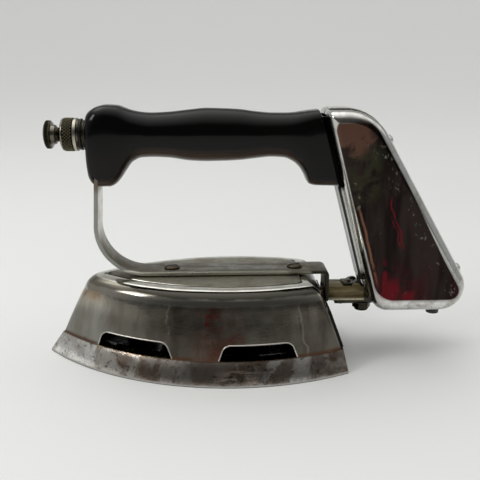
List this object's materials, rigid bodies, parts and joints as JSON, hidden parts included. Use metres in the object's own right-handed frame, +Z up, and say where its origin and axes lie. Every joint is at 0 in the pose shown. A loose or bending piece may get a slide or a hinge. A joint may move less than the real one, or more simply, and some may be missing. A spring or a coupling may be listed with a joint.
{
  "type": "gasoline iron",
  "caption": "Self-heating gasoline iron with a pressed shell over a pointed sole, a flat steel bar, a black handle that holds the air pump, and a wedge-shaped fuel tank behind it.",
  "frame": {"origin": "centre of the sole's flat underside, midway between nose and heel", "axes": "+X from the nose towards the heel and the tank, +Z up, -Y the side without the valve knob"},
  "size_m": [0.2606, 0.107, 0.1563],
  "materials": {
    "sole_iron": "worn nickel plating with pits and brown stains",
    "shell_nickel": "polished nickel with brown heat tarnish",
    "heel_dark": "heat-darkened sheet",
    "bar_nickel": "worn nickel plating",
    "tank_nickel": "polished nickel with copper-brown streaks",
    "support_nickel": "aged nickel plating",
    "arm_olive": "olive-brown aged plating",
    "screw_steel": "worn slotted heads",
    "brass": "aged brass",
    "pump_brass": "aged nickel over brass",
    "tube_copper": "heat-stained tube",
    "burner_iron": "rough dark casting",
    "handle_black": "polished black",
    "knob_black": "moulded black",
    "ring_dark": "blackened steel",
    "rod_steel": "polished steel",
    "leather": "oiled leather",
    "seal": "soft seal"
  },
  "bodies": {
    "root": {"sole_plate": "sole_iron", "body_shell": "shell_nickel", "heel_plate": "heel_dark", "burner": "burner_iron", "burner_screws": "screw_steel", "mixing_tube": "tube_copper", "frame_bar": "bar_nickel", "bar_spacers": "arm_olive", "frame_screws": "screw_steel", "rear_arm": "arm_olive", "arm_rivets": "screw_steel", "rear_support": "support_nickel", "support_rivet": "screw_steel", "valve_body": "brass", "generator_tube": "tube_copper", "gas_jet": "brass", "strainer": "brass", "strainer_gasket": "seal", "strainer_cap": "brass", "clamp_screw": "ring_dark", "packing_nut": "brass", "tank_near_half": "tank_nickel", "tank_far_half": "tank_nickel", "tank_band": "tank_nickel", "tank_feet": "tank_nickel", "tank_outlet": "brass", "filler_collar": "brass", "handle": "handle_black", "pump_barrel": "pump_brass", "lock_ring": "ring_dark", "check_cage": "brass"},
    "cap_slide": {"rod_guide": "brass"},
    "cap": {"pump_cap": "pump_brass"},
    "plunger": {"pump_rod": "rod_steel", "pump_knob": "pump_brass", "piston_cup": "leather", "piston_backing": "brass", "piston_nut": "brass"},
    "needle": {"valve_needle": "rod_steel"},
    "valve": {"valve_stem": "rod_steel", "valve_knob": "knob_black"},
    "plug_slide": {"filler_gasket": "seal"},
    "plug": {"filler_plug": "knob_black"},
    "ball": {"check_ball": "rod_steel"}
  },
  "joints": [
    {"name": "cap_travel", "type": "slide", "parent": "root", "child": "cap_slide", "axis": [-1, 0, 0], "range_m": [0, 0.008]},
    {"name": "cap_turn", "type": "hinge", "parent": "cap_slide", "child": "cap", "pos_m": [-0.0701, 0, 0.139], "axis": [-1, 0, 0], "range_deg": [0, 2304]},
    {"name": "plunger_pull", "type": "slide", "parent": "cap_slide", "child": "plunger", "axis": [-1, 0, 0], "range_m": [0, 0.11]},
    {"name": "valve_lift", "type": "slide", "parent": "root", "child": "needle", "axis": [0, 1, 0], "range_m": [0, 0.0007]},
    {"name": "valve_turn", "type": "hinge", "parent": "needle", "child": "valve", "pos_m": [0.10304, 0.014, 0.0375], "axis": [0, 1, 0], "range_deg": [0, 360]},
    {"name": "plug_travel", "type": "slide", "parent": "root", "child": "plug_slide", "axis": [0, 0, -1], "range_m": [0, 0.007]},
    {"name": "plug_turn", "type": "hinge", "parent": "plug_slide", "child": "plug", "pos_m": [0.15402, 0, 0.0265], "axis": [0, 0, -1], "range_deg": [0, 2520]},
    {"name": "ball_lift", "type": "slide", "parent": "root", "child": "ball", "axis": [1, 0, 0], "range_m": [0, 0.0015]}
  ],
  "couplings": [
    {"joint": "cap_travel", "follows": "cap_turn", "m_per_rad": 0.00019894},
    {"joint": "valve_turn", "follows": "valve_lift", "rad_per_m": 8976},
    {"joint": "plug_turn", "follows": "plug_travel", "rad_per_m": 6283.2}
  ]
}
